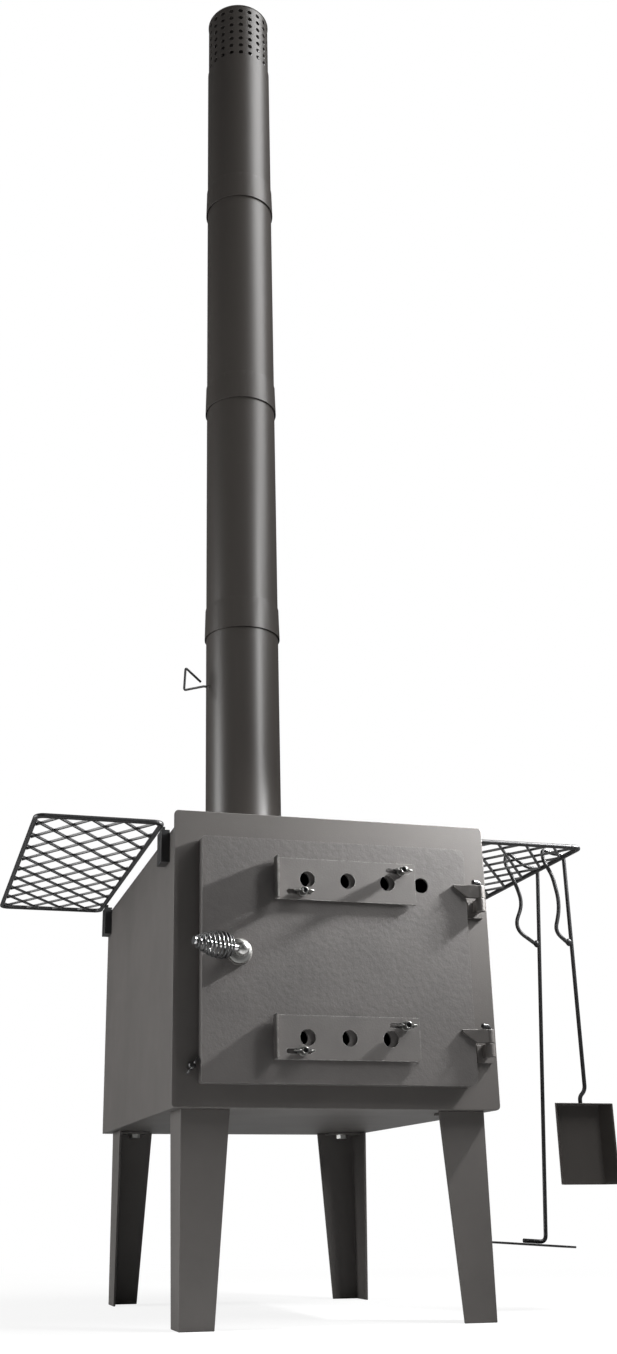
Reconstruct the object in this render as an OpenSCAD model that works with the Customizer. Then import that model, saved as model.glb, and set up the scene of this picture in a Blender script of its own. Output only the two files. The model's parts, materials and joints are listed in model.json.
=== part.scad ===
// Outdoor wood-burning stove: firebox on four legs, hinged door with two sliding
// vents, stacked flue pipe with damper and spark arrestor, two lift-off side
// shelves, ash rake and shovel. Millimetres, +Z up, door facing -Y.
// The origin is on the ground, in the middle of the whole outline.

/* [Body] */
// Front plate width
plate_w = 380; // [350:1:410]
// Front plate height
plate_h = 330; // [315:1:350]
// Front plate thickness
plate_t = 4; // [3:0.5:5]
// Front plate corner radius
plate_corner_r = 5; // [4:1:12]
// Height of the box floor above the ground
body_z = 220; // [200:1:240]
// Step from the plate's side edge in to the box wall
box_inset = 3; // [2:0.5:4]
// Box depth behind the front plate
box_d = 514; // [500:1:530]
// Sheet thickness of the box walls
sheet_t = 2.5; // [2:0.5:3]
// Drop from the plate's top edge to the cooktop
cooktop_drop = 16; // [10:1:20]

/* [Door] */
// Margin of the plate on each side of the door
door_side = 31; // [30:0.5:35]
// Door height
door_h = 272; // [266:1:276]
// Sideways shift of the door from the plate's middle
door_x = -2; // [-4:0.5:0]
// Door middle above the box floor
door_rise = 160.5; // [156:0.5:165]
// Distance from the door's back edge to its face
door_depth = 17.7; // [16:0.1:19]
// Thickness of the door face
door_t = 4; // [3:0.5:5]
// Width of the rim round the door's back
door_rim_w = 6; // [4:0.5:8]
// Door corner radius
door_corner_r = 9; // [5:1:12]
// Lap of the door over the opening
door_lap = 16; // [14:1:18]
// Hinge axis in from the plate's right edge
hinge_inset = 16.5; // [15:0.5:18]
// Hinge axis in front of the plate
hinge_y = 20; // [19:0.5:21]
// Split of the upper hinge below the door's top edge
hinge_top_gap = 58.5; // [55:0.5:64]
// Split of the lower hinge above the door's bottom edge
hinge_bottom_gap = 47; // [42:0.5:52]
// Knuckle outside radius
knuckle_r = 5.5; // [5:0.1:6]
// Height of one knuckle
knuckle_h = 15; // [13:1:17]
// Hinge pin radius
pin_r = 2.8; // [2.5:0.1:3.2]
// Hinge strap length on the door
strap_l = 33; // [30:1:38]
// Hinge strap's thickness and height at its tip
strap_t = 3; // [2:0.5:3.5]

/* [Vents] */
// Air hole radius
vent_r = 9; // [8:0.5:9.5]
// Spacing of the air holes
vent_pitch = 48.4; // [47:0.2:50]
// Upper air holes below the door's top edge
vent_top_gap = 46; // [44:0.5:48]
// Lower air holes above the door's bottom edge
vent_bottom_gap = 49; // [47:0.5:51]
// Middle of three upper air holes from the plate's middle
hole_high_x = 4; // [2:0.5:6]
// Middle of the lower air holes from the plate's middle
hole_low_x = -2; // [-4:0.5:0]
// Slide plate length
slide_w = 170; // [168:1:176]
// Slide plate height
slide_h = 48; // [46:1:50]
// Slide plate thickness
slide_t = 2; // [1.2:0.1:2.5]
// Gap between the door face and the slide
slide_gap = 1.5; // [1:0.1:3]
// Reach of the finger tab at the slide's left end
slide_tab = 12; // [8:1:20]
// Middle of the upper slide from the plate's middle
slide_high_x = 7.5; // [6:0.5:9]
// Middle of the lower slide from the plate's middle
slide_low_x = 4; // [2:0.5:6]
// Middle of the slide's holes from the slide's middle
slide_hole_x = 2; // [0:0.5:3]
// Slide travel that closes the vents
slide_close = 16; // [14:1:16]
// Slide travel the other way
slide_back = 8; // [4:1:8]
// Radius of the vent bolts
vent_bolt_r = 2.5; // [2:0.1:3]
// Left bolt from the slide's middle
bolt_left = 52.5; // [52:0.5:56]
// Right bolt from the slide's middle
bolt_right = 67.8; // [66:0.2:70]
// Bolt height from the slide's middle
bolt_rise = 14.8; // [14.6:0.1:15.4]
// Span of a wing nut
wing_span = 28; // [24:1:30]

/* [Latch and grip] */
// Latch axis in from the door's left edge
latch_inset = 41; // [38:0.5:44]
// Latch axis above the box floor
latch_rise = 165; // [160:1:169]
// Latch shaft radius
latch_r = 5; // [4:0.1:5.5]
// Latch tongue length
tongue_l = 45; // [42:1:48]
// Handle rod radius
grip_rod_r = 3.5; // [3:0.1:3.8]
// Lean of the handle out from the door
grip_lean = 15; // [0:1:25]
// Rise of the handle's end
grip_rise = 4; // [0:1:15]
// Spring grip wire radius
coil_wire_r = 1.3; // [1:0.05:1.4]
// Spring grip middle radius, at its fattest
coil_mid_r = 14; // [12:0.5:15]
// Spring grip length
coil_l = 44; // [40:1:46]
// Curls in the spring grip
coil_curls = 9; // [7:1:9]

/* [Legs] */
// Step from the plate's side edge in to a leg
leg_inset = 13.5; // [12:0.5:16]
// Front legs behind the plate's face
leg_front_y = 16.3; // [14:0.1:20]
// Rear legs in from the box's back
leg_back_gap = 28; // [20:1:34]
// Leg width at the top, seen from the front
leg_top_w = 55; // [50:1:60]
// Leg width at the foot, seen from the front
leg_foot_w = 38; // [32:1:44]
// Leg width at the top, seen from the side
leg_top_d = 58; // [50:1:62]
// Leg width at the foot, seen from the side
leg_foot_d = 42; // [34:1:46]
// Leg plate thickness
leg_t = 3; // [2:0.5:4]
// Leg bolt radius
leg_bolt_r = 4; // [3:0.5:5]

/* [Chimney] */
// Flue axis in front of the box's back
flue_gap = 86; // [82:1:98]
// Flue pipe outside radius
pipe_r = 57; // [50:0.5:60]
// Flue pipe wall
pipe_t = 1; // [0.8:0.1:1.5]
// Lowest section, from the collar to the first rim
first_section_h = 424; // [400:1:450]
// Rise of one middle section
section_h = 414; // [380:1:440]
// Top section, from its rim to the arrestor
top_section_h = 326; // [280:1:360]
// Height of the bell at a section's lower end
bell_h = 50; // [40:1:60]
// How much the bell flares towards its rim
bell_flare = 1.2; // [0.5:0.1:2]
// Arrestor height above the top section
arrestor_h = 120; // [110:1:140]
// Arrestor length inside the top section
arrestor_tuck = 34; // [20:1:50]
// Rows of arrestor holes
hole_rows = 7; // [4:1:7]
// Arrestor holes in one row
hole_columns = 20; // [12:2:20]
// Spacing of the rows of holes
hole_row_pitch = 16.7; // [14:0.1:17]
// Arrestor hole radius
hole_r = 4.25; // [3:0.25:5]
// Damper axis above the collar
damper_rise = 336; // [300:1:360]
// Turn of the damper's axis about the flue
damper_turn = 12; // [0:1:20]
// Damper shaft radius
damper_shaft_r = 2.5; // [2:0.1:3]

/* [Shelves] */
// Shelf's inner rail out from the plate's side edge
shelf_gap = 6; // [5:0.5:8]
// Distance between a shelf's inner and outer rails
shelf_w = 148; // [144:1:156]
// Shelf's front rail behind the plate's face
shelf_front_y = 41; // [36:1:41]
// Shelf's back rail behind the box's back
shelf_back_gap = 31; // [22:1:42]
// Shelf above the cooktop
shelf_rise = 11; // [10:0.5:14]
// Rail radius
rail_r = 3; // [2.5:0.1:3.2]
// Rail corner radius
rail_corner_r = 10; // [8:1:12]
// Mesh gap across the shelf
mesh_x = 38; // [37:0.5:39]
// Mesh gap along the shelf
mesh_y = 57.6; // [57:0.1:58]
// Mesh strand width
strand_w = 3; // [2:0.1:3.2]
// Mesh strand thickness
strand_t = 2.6; // [1.5:0.1:2.8]

/* [Tools] */
// Tool wire radius
wire_r = 2.5; // [2:0.1:2.6]
// Rake behind the plate's face
rake_y = 178; // [176:1:180]
// Shovel behind the plate's face
shovel_y = 100; // [98:1:102]
// Rod length of the rake below the rail
rake_l = 469; // [430:1:480]
// Rod length of the shovel below the rail
shovel_l = 301; // [280:1:320]
// Width of the rake's loop
rake_loop_w = 43; // [42:0.5:44]
// Height of the rake's loop
rake_loop_h = 98; // [90:1:110]
// Width of the shovel's loop
shovel_loop_w = 26; // [25:0.5:27]
// Height of the shovel's loop
shovel_loop_h = 110; // [100:1:120]
// Lean of the hanging rake
rake_lean = 3.8; // [3:0.1:4]
// Rake blade width
blade_w = 100; // [80:1:110]
// Rake blade depth
blade_d = 36; // [28:1:40]
// Turn of the rake blade about its rod
blade_turn = 0; // [-45:1:45]
// Shovel pan rim width
pan_w = 78; // [70:1:84]
// Shovel pan floor width
pan_floor_w = 57; // [50:1:62]
// Shovel pan length
pan_l = 94; // [84:1:100]
// Shovel pan depth
pan_d = 18; // [14:1:22]

/* [Show] */
// Piece to show: a name from the list below, or all

/* [Hidden] */
$fn = 64;

// Overrun of every cut
over = 1;
// Gap between pieces that seat on each other
seat = 0.3;
// Radial clearance of a turning fit
run_fit = 0.05;
// Radial clearance round a fixed bolt
bolt_fit = 0.3;

// Colours
c_paint = [0.29, 0.28, 0.27];
c_door = [0.36, 0.35, 0.34];
c_pipe = [0.27, 0.25, 0.24];
c_black = [0.10, 0.10, 0.10];
c_zinc = [0.72, 0.72, 0.70];
c_chrome = [0.85, 0.85, 0.85];

// Box
box_w = plate_w - 2 * box_inset;
box_back = plate_t + box_d;
top_z = body_z + plate_h - cooktop_drop;
wall_h = top_z - sheet_t - body_z;
inner_w = box_w - 2 * sheet_t;

// Door
door_w = plate_w - 2 * door_side;
door_z = body_z + door_rise;
door_top = door_z + door_h / 2;
door_bottom = door_z - door_h / 2;
door_left_r = 3;
hinge_x = plate_w / 2 - hinge_inset;
hinge_high = door_top - hinge_top_gap;
hinge_low = door_bottom + hinge_bottom_gap;
vent_high = door_top - vent_top_gap;
vent_low = door_bottom + vent_bottom_gap;
door_face = -seat - door_depth;
door_inner = door_face + door_t;
open_w = door_w - 2 * door_lap;
open_h = door_h - 2 * door_lap;
open_corner_r = 10;
catch_inset = 21;
catch_lift = 18.5;
catch_turn = 55;

// Hinge plates
strap_rise_share = 0.85;
strap_foot_share = 0.5;
bracket_t = 4;
bracket_w = 19;
bracket_tail = 5;
arm_t = 5;
pin_bend_r = pin_r * 5 / 4;
pin_end_l = 6.5;
pin_turn = 200;

// Vent fittings
slot_r = vent_bolt_r + bolt_fit;
slide_back_y = door_face - slide_gap;
slide_face = slide_back_y - slide_t;
spacer_r = 6;
washer_r = 5.5;
washer_t = 1.2;
nut_r = 4.3;
nut_h = 10;
wing_t = 2;
wing_h = 6;
wing_lift = 1.5;
bolt_head_r = 6;
bolt_head_h = 4;
bolt_recess = 3;

// Latch and grip
latch_x = door_w / 2 - door_x - latch_inset;
latch_z = body_z + latch_rise;
boss_r = 15;
boss_h = 6;
dome_r = 13.5;
dome_h = 3;
hub_r = 7.5;
hub_l = 14;
hub_y = 39;
tongue_w = 14;
tongue_t = 4;
tongue_gap = 2;
tongue_y = plate_t + tongue_gap;
tip_r = 4.8;
tip_h = 2;
coil_start = 13;
coil_belly_share = 0.66;
coil_end_r = grip_rod_r + coil_wire_r + seat;
coil_steps = 8;
coil_sides = 6;
rod_end = coil_start + coil_l + coil_wire_r + seat + tip_h;

// Flue
flue_y = box_back - flue_gap;
collar_r = 76;
collar_t = 3;
spigot_h = 48;
spigot_t = 2;
spigot_r = pipe_r - pipe_t - seat;
flue_hole_r = spigot_r - spigot_t;
screw_ring_r = 68;
screw_r = 3;
screw_head_r = 5;
screw_head_h = 3;
flue_z = top_z + collar_t;
rim_1 = flue_z + first_section_h;
rim_2 = rim_1 + section_h;
rim_3 = rim_2 + section_h;
pipe_top = rim_3 + top_section_h;
shoulder_h = 4;
cap_t = 1.5;
cap_lip = 0.8;
stove_top = pipe_top + arrestor_h;
arrestor_r = pipe_r - pipe_t - seat;
arrestor_t = 0.8;
first_row_drop = 13.6;
damper_z = flue_z + damper_rise;
damper_disc_gap = 2.5;
damper_t = 1.5;
damper_sleeve_t = 2;
damper_reach = 5;
handle_wire_r = 1.8;
handle_bend_r = 4;
handle_loop_w = 37;
handle_loop_h = 34;
handle_loop_shares = [[0, 0], [0.1, 0], [1, -0.35], [0.94, 0.75], [0.24, 0.18]];

// Grate
grate_z = 28;
grate_t = 4;
grate_gap = 10;
rest_w = 20;
rest_t = 3;
grate_front = 30;
grate_back = 20;
grate_slots = 12;
grate_slot_w = 12;
grate_edge = 22;

// Legs
leg_pad = 44;
leg_pad_hole = 26;
nut_hex_r = 7.5;
nut_hex_h = 6;
hex_head_h = 5;

// Shelves
shelf_in_x = plate_w / 2 + shelf_gap;
shelf_out_x = shelf_in_x + shelf_w;
shelf_back_y = box_back + shelf_back_gap;
shelf_z = top_z + shelf_rise;
shelf_mid_x = (shelf_in_x + shelf_out_x) / 2;
mesh_left_in = 10;
mesh_left_back = 9.2;
mesh_right_out = 15;
mesh_right_back = 2.4;
mesh_count = 12;
shelf_leg_t = 3;
shelf_leg_w = 20;
shelf_leg_l = 40;
shelf_leg_in = 2.5;
bracket_wall = 3;
pocket_wall = 1.9;
pocket_drop = 4;
bracket_front_gap = 2;
bracket_back_gap = 32;
bracket_ys = [shelf_front_y + bracket_front_gap, box_back - bracket_back_gap];

// Tools
hook_r = rail_r + wire_r + seat;
blade_t = 2.5;
blade_shift = 12;
foot_l = 30;
weld_r = 3.6;
pan_t = 1.5;
pan_shift = 2;
rake_loop_shares = [[-0.9, 0.24], [-1, 0.1], [-0.62, -0.2], [-0.4, -0.46], [-0.7, -0.82]];
shovel_loop_shares = [[-0.95, 0.11], [-0.92, -0.04], [-0.5, -0.2], [-0.2, -0.56], [-0.6, -0.88]];
hook_flat = 10;
bend_r = 8;
loop_bend_r = 30;
wire_sides = 8;
bend_steps = 4;

// Middle of the whole outline, which the origin lies under
reach_right = shelf_out_x - pan_shift + pan_w / 2;
reach_left = shelf_out_x + rail_r;
reach_back = shelf_back_y + rail_r;
mid_x = (reach_right - reach_left) / 2;

// Vector of length one
function unit(v) = v / norm(v);

// Route of [x, z, reach of the bend] from a loop's shares
function sized(shares, w, h, bend) = [for (p = shares) [p[0] * w, p[1] * h, bend]];

// Place of a route's point, without its bend
function flat(p) = [p[0], p[1]];

// Points along a route with each inner corner turned into a bend
function eased(route) = [
    flat(route[0]),
    for (i = [1 : len(route) - 2])
        let (
            a = flat(route[i - 1] - route[i]),
            b = flat(route[i + 1] - route[i]),
            d = min(route[i][2], norm(a) / 2, norm(b) / 2)
        )
        for (k = [0 : bend_steps])
            let (s = k / bend_steps)
            flat(route[i]) + unit(a) * d * (1 - s) * (1 - s) + unit(b) * d * s * s,
    flat(route[len(route) - 1])];

// Same points without those that repeat
function tidy(points, r) = [
    for (i = [0 : len(points) - 1])
        if (i == 0 || norm(points[i] - points[i - 1]) > r / 100) points[i]];

// Ring i of a wire along points in the XZ plane
function wire_ring(points, i, r) =
    let (
        last = len(points) - 1,
        a = i == 0 ? unit(points[1] - points[0]) : unit(points[i] - points[i - 1]),
        b = i == last ? a : unit(points[i + 1] - points[i]),
        t = unit(a + b)
    )
    [for (k = [0 : wire_sides - 1])
        let (w = r * cos(360 * k / wire_sides) / (t * a))
        [points[i][0] - t[1] * w, r * sin(360 * k / wire_sides), points[i][1] + t[0] * w]];

// Triangles of a tube with closed ends
function tube_faces(rings, sides) = concat(
    [for (i = [0 : rings - 2], k = [0 : sides - 1], h = [0, 1])
        let (n = (k + 1) % sides, p = i * sides)
        h == 0 ? [p + k, p + n, p + sides + k] : [p + n, p + sides + n, p + sides + k]],
    [for (k = [1 : sides - 2]) [0, k + 1, k]],
    [for (k = [1 : sides - 2]) let (p = (rings - 1) * sides) [p, p + k, p + k + 1]]);

// Bent wire along a route in the XZ plane
module bent_wire(route, r) {
    points = tidy(eased(route), r);
    rings = [for (i = [0 : len(points) - 1]) wire_ring(points, i, r)];
    polyhedron([for (ring = rings) for (p = ring) p], tube_faces(len(points), wire_sides));
}

// Places a piece in the frame of the whole part
module in_frame() {
    translate([-mid_x, -mid_y, 0]) children();
}

// Rounded rectangle round the origin
module rounded(w, h, r) {
    square([w - 2 * r, h], center = true);
    square([w, h - 2 * r], center = true);
    for (x = [-1, 1], y = [-1, 1])
        translate([x * (w / 2 - r), y * (h / 2 - r)]) circle(r);
}

// Door outline, with tighter corners on the latch side
module door_outline() {
    rounded(door_w, door_h, door_corner_r);
    translate([-door_w / 4, 0]) rounded(door_w / 2, door_h, door_left_r);
}

// Upright sheet: an XZ outline from y to y + t
module upright(y, t) {
    translate([0, y + t, 0]) rotate([90, 0, 0]) linear_extrude(t) children();
}

// Rod along Y
module rod_y(y, l, r) {
    translate([0, y, 0]) rotate([-90, 0, 0]) cylinder(h = l, r = r);
}

// Hexagonal prism along Z
module hexagon(h, r) {
    cylinder(h = h, r = r, $fn = 6);
}

module front_plate() {
    color(c_paint) in_frame() upright(0, plate_t) difference() {
        translate([0, body_z + plate_h / 2]) rounded(plate_w, plate_h, plate_corner_r);
        translate([door_x, door_z]) rounded(open_w, open_h, open_corner_r);
    }
}

module side_panel(side) {
    color(c_paint) in_frame()
        translate([side * (box_w - sheet_t) / 2 - sheet_t / 2, plate_t, body_z])
            cube([sheet_t, box_d, wall_h]);
}

module side_panel_left() {
    side_panel(-1);
}

module side_panel_right() {
    side_panel(1);
}

module back_panel() {
    color(c_paint) in_frame() translate([-inner_w / 2, box_back - sheet_t, body_z])
        cube([inner_w, sheet_t, wall_h]);
}

// Runs its children at each leg: sign of X, outer corner, sign of Y
module at_legs() {
    leg_x = plate_w / 2 - leg_inset;
    for (x = [-1, 1]) {
        translate([x * leg_x, leg_front_y, 0]) scale_to(x, 1) children();
        translate([x * leg_x, box_back - leg_back_gap, 0]) scale_to(x, -1) children();
    }
}

// Turns a front left leg into one of the four
module scale_to(x, y) {
    mirror([x > 0 ? 1 : 0, 0, 0]) mirror([0, y < 0 ? 1 : 0, 0]) children();
}

module floor_panel() {
    color(c_paint) in_frame() difference() {
        translate([-inner_w / 2, plate_t, body_z]) cube([inner_w, box_d - sheet_t, sheet_t]);
        at_legs() translate([leg_pad_hole, leg_pad_hole, body_z - over])
            cylinder(h = sheet_t + 2 * over, r = leg_bolt_r + bolt_fit);
    }
}

module cooktop() {
    color(c_paint) in_frame() difference() {
        translate([-box_w / 2, plate_t, top_z - sheet_t]) cube([box_w, box_d, sheet_t]);
        translate([0, flue_y, top_z - sheet_t - over]) {
            cylinder(h = sheet_t + 2 * over, r = flue_hole_r);
            for (a = [45 : 90 : 315])
                rotate(a) translate([screw_ring_r, 0, 0])
                    cylinder(h = sheet_t + 2 * over, r = screw_r + bolt_fit);
        }
    }
}

module flue_collar() {
    color(c_paint) in_frame() translate([0, flue_y, top_z]) difference() {
        union() {
            cylinder(h = collar_t, r = collar_r);
            cylinder(h = collar_t + spigot_h, r = spigot_r);
        }
        translate([0, 0, -over]) cylinder(h = collar_t + spigot_h + 2 * over, r = flue_hole_r);
        for (a = [45 : 90 : 315])
            rotate(a) translate([screw_ring_r, 0, -over])
                cylinder(h = collar_t + 2 * over, r = screw_r + bolt_fit);
    }
}

module collar_screws() {
    color(c_zinc) in_frame() translate([0, flue_y, flue_z]) for (a = [45 : 90 : 315])
        rotate(a) translate([screw_ring_r, 0, 0]) {
            cylinder(h = screw_head_h, r = screw_head_r);
            translate([0, 0, -collar_t - 2 * sheet_t])
                cylinder(h = collar_t + 2 * sheet_t, r = screw_r);
        }
}

module grate_rests() {
    color(c_paint) in_frame() for (x = [0, 1]) mirror([x, 0, 0])
        translate([inner_w / 2 - rest_w, plate_t + grate_front, body_z + grate_z]) {
            cube([rest_w, box_d - grate_front - grate_back, rest_t]);
            translate([rest_w - rest_t, 0, -rest_w])
                cube([rest_t, box_d - grate_front - grate_back, rest_w]);
        }
}

module fire_grate() {
    grate_w = inner_w - 2 * grate_gap;
    grate_l = box_d - grate_front - grate_back;
    pitch = (grate_l - 2 * grate_edge) / grate_slots;
    color(c_black) in_frame()
        translate([0, plate_t + grate_front, body_z + grate_z + rest_t])
            linear_extrude(grate_t) difference() {
                translate([-grate_w / 2, 0]) square([grate_w, grate_l]);
                for (k = [0 : grate_slots - 1])
                    translate([-grate_w / 2 + 2 * grate_edge,
                            grate_edge + (k + 1 / 2) * pitch - grate_slot_w / 2])
                        square([grate_w - 4 * grate_edge, grate_slot_w]);
            }
}

// Front left leg, from its outer corner
module leg() {
    color(c_paint) difference() {
        union() {
            upright(0, leg_t)
                polygon([[0, 0], [leg_foot_w, 0], [leg_top_w, body_z], [0, body_z]]);
            rotate([0, 0, 90]) mirror([0, 1, 0]) upright(0, leg_t)
                polygon([[0, 0], [leg_foot_d, 0], [leg_top_d, body_z], [0, body_z]]);
            translate([0, 0, body_z - leg_t]) cube([leg_pad, leg_pad, leg_t]);
        }
        translate([leg_pad_hole, leg_pad_hole, body_z - leg_t - over])
            cylinder(h = leg_t + 2 * over, r = leg_bolt_r + bolt_fit);
    }
}

module placed_leg(x, y) {
    leg_x = plate_w / 2 - leg_inset;
    leg_y = y > 0 ? leg_front_y : box_back - leg_back_gap;
    in_frame() translate([x * leg_x, leg_y, 0]) scale_to(x, y) leg();
}

module leg_front_left() {
    placed_leg(-1, 1);
}

module leg_front_right() {
    placed_leg(1, 1);
}

module leg_rear_left() {
    placed_leg(-1, -1);
}

module leg_rear_right() {
    placed_leg(1, -1);
}

module leg_bolts() {
    color(c_zinc) in_frame() at_legs() translate([leg_pad_hole, leg_pad_hole, body_z - leg_t]) {
        translate([0, 0, -hex_head_h]) hexagon(hex_head_h, nut_hex_r);
        cylinder(h = leg_t + sheet_t + nut_hex_h, r = leg_bolt_r);
    }
}

module leg_nuts() {
    color(c_zinc) in_frame() at_legs() translate([leg_pad_hole, leg_pad_hole, body_z + sheet_t])
        difference() {
            hexagon(nut_hex_h, nut_hex_r);
            translate([0, 0, -over])
                cylinder(h = nut_hex_h + 2 * over, r = leg_bolt_r + run_fit);
        }
}

// Outline of a section with a bell, from its rim up to its top end
module belled_section(rim, top) {
    bell_in = pipe_r + seat;
    bell_out = bell_in + pipe_t;
    color(c_pipe) in_frame() translate([0, flue_y, 0]) rotate_extrude($fn = 96) polygon([
        [bell_in + bell_flare, rim], [bell_out + bell_flare, rim],
        [bell_out, rim + bell_h], [pipe_r, rim + bell_h + shoulder_h], [pipe_r, top],
        [pipe_r - pipe_t, top], [pipe_r - pipe_t, rim + bell_h + shoulder_h],
        [bell_in, rim + bell_h]]);
}

module pipe_section_1() {
    color(c_pipe) in_frame() translate([0, flue_y, 0]) difference() {
        translate([0, 0, flue_z])
            cylinder(h = rim_1 + bell_h - seat - flue_z, r = pipe_r, $fn = 96);
        translate([0, 0, flue_z - over])
            cylinder(h = rim_1 + bell_h - flue_z + over, r = pipe_r - pipe_t, $fn = 96);
        rotate(damper_turn) translate([-pipe_r - over, 0, damper_z]) rotate([0, 90, 0])
            cylinder(h = 2 * (pipe_r + over), r = damper_shaft_r + run_fit);
    }
}

module pipe_section_2() {
    belled_section(rim_1, rim_2 + bell_h - seat);
}

module pipe_section_3() {
    belled_section(rim_2, rim_3 + bell_h - seat);
}

module pipe_section_4() {
    belled_section(rim_3, pipe_top);
}

module spark_arrestor() {
    low = pipe_top - arrestor_tuck;
    high = stove_top - cap_t;
    color(c_pipe) in_frame() translate([0, flue_y, 0]) difference() {
        translate([0, 0, low]) cylinder(h = high - low, r = arrestor_r, $fn = 96);
        translate([0, 0, low - over])
            cylinder(h = high - low + 2 * over, r = arrestor_r - arrestor_t, $fn = 96);
        for (row = [0 : hole_rows - 1], column = [0 : hole_columns - 1])
            rotate((column + 1 / 2) * 360 / hole_columns)
                translate([arrestor_r - 3 * arrestor_t, 0,
                        stove_top - first_row_drop - row * hole_row_pitch])
                    rotate([0, 90, 0]) cylinder(h = 3 * arrestor_t + over, r = hole_r, $fn = 24);
    }
}

module arrestor_cap() {
    color(c_pipe) in_frame() translate([0, flue_y, stove_top - cap_t])
        cylinder(h = cap_t, r = arrestor_r + cap_lip, $fn = 96);
}

// Places the damper: its axis along X through the flue
module at_damper() {
    translate([0, flue_y, damper_z]) rotate(damper_turn) children();
}

module damper_plate() {
    disc_r = pipe_r - pipe_t - damper_disc_gap;
    color(c_pipe) in_frame() at_damper() difference() {
        union() {
            rotate([90, 0, 0]) cylinder(h = damper_t, r = disc_r, center = true);
            rotate([0, 90, 0])
                cylinder(h = 3 / 2 * disc_r, r = damper_shaft_r + damper_sleeve_t, center = true);
        }
        rotate([0, 90, 0])
            cylinder(h = 2 * (disc_r + over), r = damper_shaft_r + run_fit, center = true);
    }
}

module damper_shaft() {
    color(c_zinc) in_frame() at_damper() rotate([0, 90, 0])
        cylinder(h = 2 * (pipe_r + damper_reach), r = damper_shaft_r, center = true);
}

module damper_handle() {
    color(c_black) in_frame() at_damper()
        translate([-pipe_r - damper_reach - seat, 0, 0]) mirror([1, 0, 0])
        bent_wire(sized(handle_loop_shares, handle_loop_w, handle_loop_h, handle_bend_r),
            handle_wire_r);
}

module damper_nut() {
    nut_l = nut_h / 2;
    color(c_zinc) in_frame() at_damper() translate([pipe_r + damper_reach - nut_l, 0, 0]) difference() {
        union() {
            rotate([0, 90, 0]) cylinder(h = nut_l, r1 = nut_r, r2 = nut_r * 3 / 4);
            for (a = [-1, 1])
                translate([nut_l / 2, 0, a * nut_r * 3 / 2])
                    cube([nut_l, wing_t, 2 * nut_r], center = true);
        }
        translate([-nut_l, 0, 0]) rotate([0, 90, 0])
            cylinder(h = 2 * nut_l, r = damper_shaft_r + run_fit);
    }
}

// Bolt places of both slides, in front view
module at_vent_bolts() {
    for (s = [[slide_high_x, vent_high], [slide_low_x, vent_low]]) {
        translate([s[0] - bolt_left, 0, s[1] - bolt_rise]) children();
        translate([s[0] + bolt_right, 0, s[1] + bolt_rise]) children();
    }
}

module door_panel() {
    color(c_door) in_frame() difference() {
        upright(door_face, door_t) difference() {
            translate([door_x, door_z]) door_outline();
            for (k = [-1 : 2])
                translate([hole_high_x + k * vent_pitch, vent_high]) circle(vent_r);
            for (k = [-1 : 1])
                translate([hole_low_x + k * vent_pitch, vent_low]) circle(vent_r);
            translate([-latch_x, latch_z]) circle(latch_r + run_fit);
        }
        at_vent_bolts() rod_y(door_face - over, door_t + 2 * over, vent_bolt_r + bolt_fit);
    }
}

module door_rim() {
    color(c_door) in_frame() upright(door_inner, -seat - door_inner) translate([door_x, door_z])
        difference() {
            door_outline();
            rounded(door_w - 2 * door_rim_w, door_h - 2 * door_rim_w, door_corner_r - door_rim_w);
        }
}

// Runs its children at the split of both hinges
module at_hinges() {
    for (z = [hinge_high, hinge_low])
        translate([hinge_x, -hinge_y, z]) children();
}

// Cast strap that rises from the door to the front of its knuckle
module hinge_strap() {
    root = hinge_y + door_face;
    intersection() {
        linear_extrude(knuckle_h) polygon([[0, root], [-strap_l, root], [-strap_l, root - strap_t],
            [0, -knuckle_r * strap_rise_share]]);
        upright(-knuckle_r, root + knuckle_r) polygon([[0, knuckle_h], [-strap_l, knuckle_h],
            [-strap_l, knuckle_h - strap_t], [-strap_l * strap_foot_share, 0], [0, 0]]);
    }
}

module door_knuckles() {
    color(c_paint) in_frame() at_hinges() translate([0, 0, seat / 2]) difference() {
        union() {
            cylinder(h = knuckle_h, r = knuckle_r);
            hinge_strap();
        }
        translate([0, 0, -over]) cylinder(h = knuckle_h + 2 * over, r = pin_r + run_fit);
    }
}

module frame_knuckles() {
    color(c_paint) in_frame() at_hinges() mirror([0, 0, 1]) translate([0, 0, seat / 2])
        difference() {
            union() {
                cylinder(h = knuckle_h, r = knuckle_r);
                translate([-arm_t / 2, 0, 0]) cube([arm_t, hinge_y - bracket_t / 2, knuckle_h]);
                translate([-bracket_w / 2, hinge_y - bracket_t, 0])
                    cube([bracket_w, bracket_t, knuckle_h + bracket_tail]);
            }
            translate([0, 0, -over]) cylinder(h = knuckle_h + 2 * over, r = pin_r + run_fit);
        }
}

module hinge_pins() {
    color(c_black) in_frame() at_hinges() rotate(pin_turn) {
        translate([0, 0, -knuckle_h]) cylinder(h = 2 * knuckle_h + seat, r = pin_r);
        translate([pin_bend_r, 0, knuckle_h + seat]) {
            rotate([90, 0, 0]) rotate(90) rotate_extrude(angle = 90)
                translate([pin_bend_r, 0]) circle(pin_r);
            translate([0, 0, pin_bend_r]) rotate([0, 90, 0]) cylinder(h = pin_end_l, r = pin_r);
        }
    }
}

// Slot along X that lets the slide travel over a bolt
module travel_slot() {
    translate([-slide_close, -slot_r]) square([slide_close + slide_back, 2 * slot_r]);
    translate([-slide_close, 0]) circle(slot_r);
    translate([slide_back, 0]) circle(slot_r);
}

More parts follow.
